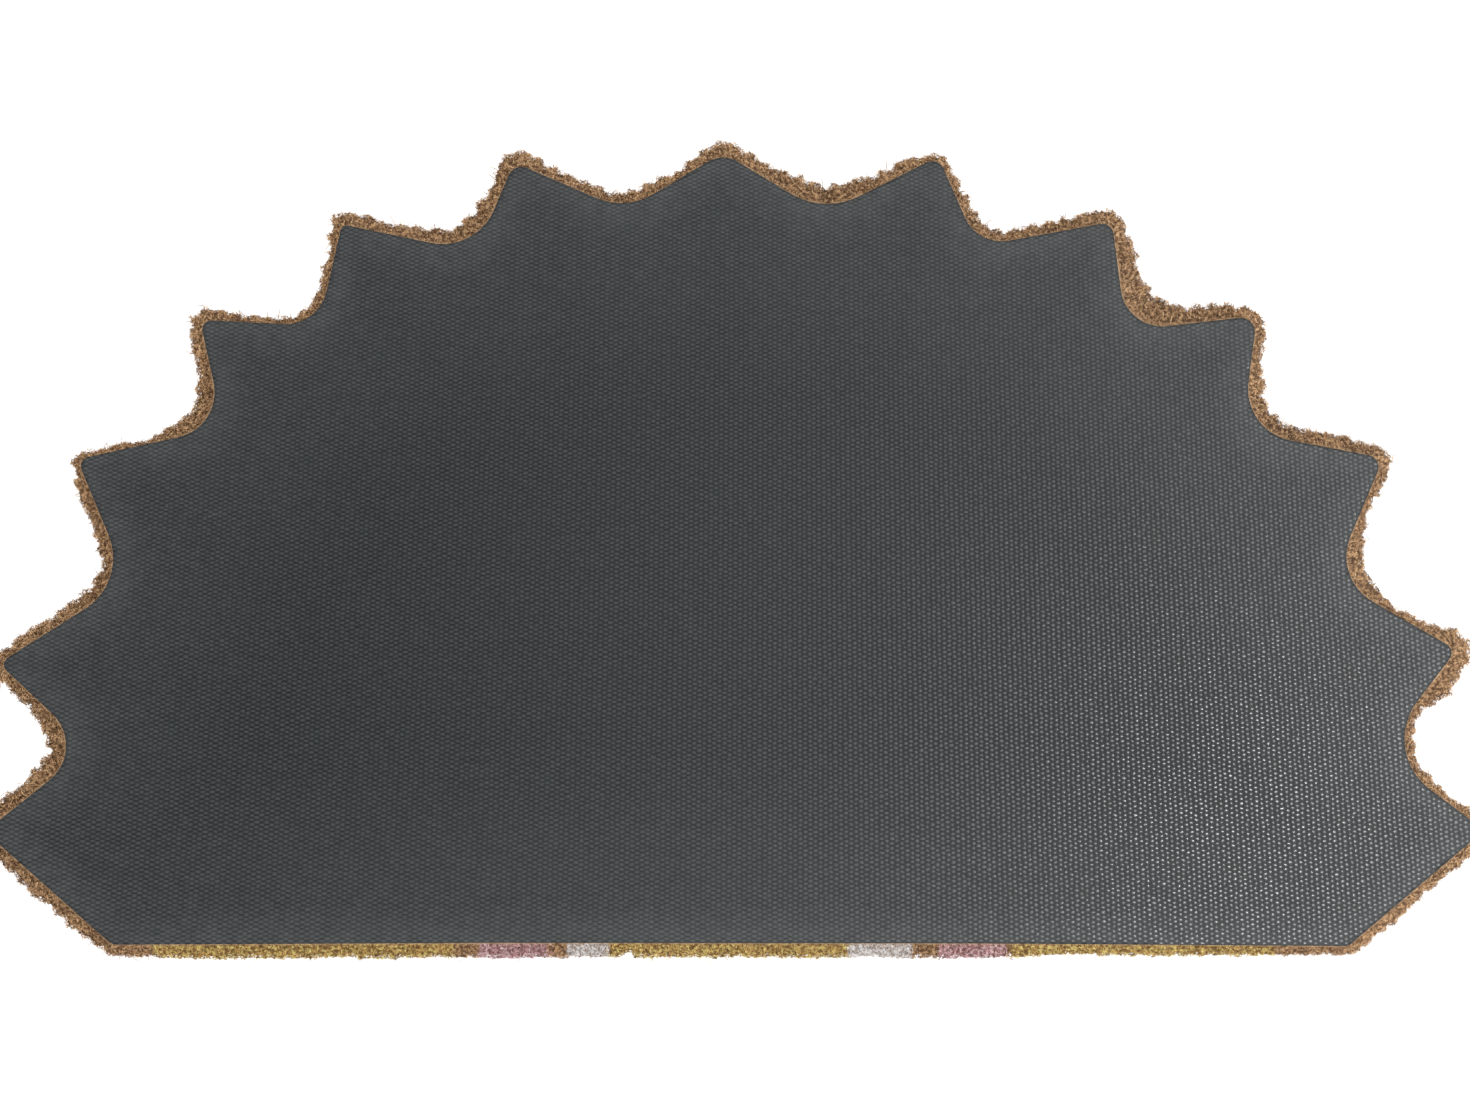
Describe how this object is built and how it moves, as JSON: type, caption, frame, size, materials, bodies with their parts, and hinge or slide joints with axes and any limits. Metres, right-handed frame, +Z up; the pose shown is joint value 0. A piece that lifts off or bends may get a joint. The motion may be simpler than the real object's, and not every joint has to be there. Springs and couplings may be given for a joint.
{
  "type": "coir doormat",
  "caption": "Half sun coir doormat with rays round its curved side, lying on its bristles with the embossed vinyl backing up.",
  "frame": {"origin": "under the middle of the mat's box, on the surface that the bristles rest on", "axes": "+Z up, out of the backing; +X along the straight edge; +Y towards the middle ray"},
  "size_m": [0.7648, 0.411, 0.015],
  "materials": {
    "backing": "matt dark grey vinyl with a fine embossed pip pattern",
    "coir": "rough natural coir bristles, dyed in bands on the walking side"
  },
  "bodies": {
    "root": {"backing": "backing", "pile": "coir"}
  },
  "joints": []
}
